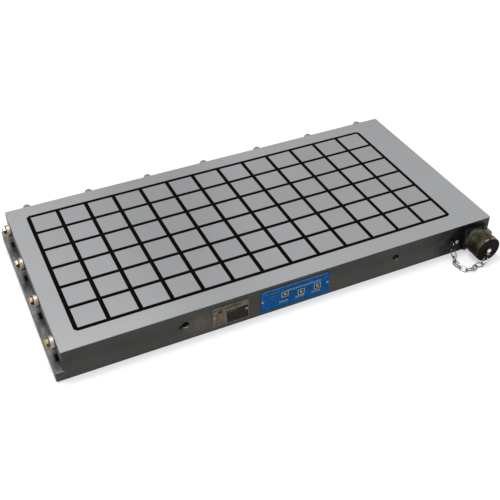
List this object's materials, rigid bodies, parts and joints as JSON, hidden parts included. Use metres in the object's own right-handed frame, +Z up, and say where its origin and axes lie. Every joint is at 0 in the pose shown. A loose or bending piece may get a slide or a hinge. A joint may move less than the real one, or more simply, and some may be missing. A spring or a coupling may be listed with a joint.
{
  "type": "electro-permanent magnetic chuck",
  "caption": "Flat rectangular magnetic workholding plate with square poles in a resin grid, clamping ledges, eccentric side stops and a capped power connector.",
  "frame": {"origin": "centre of the underside", "axes": "+X along the length towards the connector's end, +Y away from the operator's side, +Z up through the working face"},
  "size_m": [0.8331, 0.4737, 0.059],
  "materials": {
    "body_steel": "ground",
    "pole_steel": "ground",
    "resin": "satin",
    "core_magnet": "cast",
    "side_magnet": "nickel plated",
    "coil": "enamelled wire",
    "stop_steel": "turned",
    "yellow_zinc": "yellow zinc",
    "connector_shell": "black",
    "cap_metal": "olive plating",
    "insulator": "moulded",
    "contact": "plated",
    "gasket": "matt",
    "black_screw": "black oxide",
    "chain_steel": "nickel plated",
    "cover_steel": "milled",
    "lead": "insulated",
    "data_plate": "anodised",
    "colour_plate": "printed",
    "plate_rivet": "plain"
  },
  "bodies": {
    "chuck": {"body_block": "body_steel", "resin_grid": "resin", "cross_magnets": "side_magnet", "long_magnets": "side_magnet", "poles_row_1": "pole_steel", "core_magnets_row_1": "core_magnet", "coils_row_1": "coil", "poles_row_2": "pole_steel", "core_magnets_row_2": "core_magnet", "coils_row_2": "coil", "poles_row_3": "pole_steel", "core_magnets_row_3": "core_magnet", "coils_row_3": "coil", "poles_row_4": "pole_steel", "core_magnets_row_4": "core_magnet", "coils_row_4": "coil", "poles_row_5": "pole_steel", "core_magnets_row_5": "core_magnet", "coils_row_5": "coil", "poles_row_6": "pole_steel", "core_magnets_row_6": "core_magnet", "coils_row_6": "coil", "stop_screws": "yellow_zinc", "stop_washers": "yellow_zinc", "connector_gasket": "gasket", "receptacle_shell": "connector_shell", "receptacle_insert": "insulator", "contacts": "contact", "flange_screws": "black_screw", "wall_chain_tab": "chain_steel", "chain_screw": "chain_steel", "chain_wall_links": "chain_steel", "wiring_cover": "cover_steel", "cover_gasket": "gasket", "cover_screws": "black_screw", "terminal_block": "insulator", "terminal_screws": "contact", "lead_wires": "lead", "data_plate": "data_plate", "colour_plate": "colour_plate", "plate_rivets": "plate_rivet"},
    "left_stop_1": {"left_stop_1": "stop_steel"},
    "left_stop_2": {"left_stop_2": "stop_steel"},
    "left_stop_3": {"left_stop_3": "stop_steel"},
    "left_stop_4": {"left_stop_4": "stop_steel"},
    "far_stop_1": {"far_stop_1": "stop_steel"},
    "far_stop_2": {"far_stop_2": "stop_steel"},
    "far_stop_3": {"far_stop_3": "stop_steel"},
    "far_stop_4": {"far_stop_4": "stop_steel"},
    "far_stop_5": {"far_stop_5": "stop_steel"},
    "far_stop_6": {"far_stop_6": "stop_steel"},
    "far_stop_7": {"far_stop_7": "stop_steel"},
    "cap_swivel": {"cap_rivet": "chain_steel", "cap_chain_tab": "chain_steel", "chain_cap_links": "chain_steel"},
    "cap": {"dust_cap": "cap_metal", "dust_cap_liner": "gasket"}
  },
  "joints": [
    {"name": "left_stop_1_turn", "type": "hinge", "parent": "chuck", "child": "left_stop_1", "pos_m": [-0.4025, -0.1575, 0.0485], "axis": [-1, 0, 0], "continuous": true},
    {"name": "left_stop_2_turn", "type": "hinge", "parent": "chuck", "child": "left_stop_2", "pos_m": [-0.4025, -0.0525, 0.0485], "axis": [-1, 0, 0], "continuous": true},
    {"name": "left_stop_3_turn", "type": "hinge", "parent": "chuck", "child": "left_stop_3", "pos_m": [-0.4025, 0.0525, 0.0485], "axis": [-1, 0, 0], "continuous": true},
    {"name": "left_stop_4_turn", "type": "hinge", "parent": "chuck", "child": "left_stop_4", "pos_m": [-0.4025, 0.1575, 0.0485], "axis": [-1, 0, 0], "continuous": true},
    {"name": "far_stop_1_turn", "type": "hinge", "parent": "chuck", "child": "far_stop_1", "pos_m": [-0.36, 0.1985, 0.0485], "axis": [0, 1, 0], "continuous": true},
    {"name": "far_stop_2_turn", "type": "hinge", "parent": "chuck", "child": "far_stop_2", "pos_m": [-0.24, 0.1985, 0.0485], "axis": [0, 1, 0], "continuous": true},
    {"name": "far_stop_3_turn", "type": "hinge", "parent": "chuck", "child": "far_stop_3", "pos_m": [-0.12, 0.1985, 0.0485], "axis": [0, 1, 0], "continuous": true},
    {"name": "far_stop_4_turn", "type": "hinge", "parent": "chuck", "child": "far_stop_4", "pos_m": [0, 0.1985, 0.0485], "axis": [0, 1, 0], "continuous": true},
    {"name": "far_stop_5_turn", "type": "hinge", "parent": "chuck", "child": "far_stop_5", "pos_m": [0.12, 0.1985, 0.0485], "axis": [0, 1, 0], "continuous": true},
    {"name": "far_stop_6_turn", "type": "hinge", "parent": "chuck", "child": "far_stop_6", "pos_m": [0.24, 0.1985, 0.0485], "axis": [0, 1, 0], "continuous": true},
    {"name": "far_stop_7_turn", "type": "hinge", "parent": "chuck", "child": "far_stop_7", "pos_m": [0.36, 0.1985, 0.0485], "axis": [0, 1, 0], "continuous": true},
    {"name": "cap_travel", "type": "slide", "parent": "chuck", "child": "cap_swivel", "axis": [0, -1, 0], "range_m": [0, 0.008]},
    {"name": "cap_turn", "type": "hinge", "parent": "cap_swivel", "child": "cap", "pos_m": [0.369, -0.244, 0.0252], "axis": [0, -1, 0], "range_deg": [-360, 0]}
  ],
  "couplings": [
    {"joint": "cap_travel", "follows": "cap_turn", "m_per_rad": -0.0012732}
  ]
}
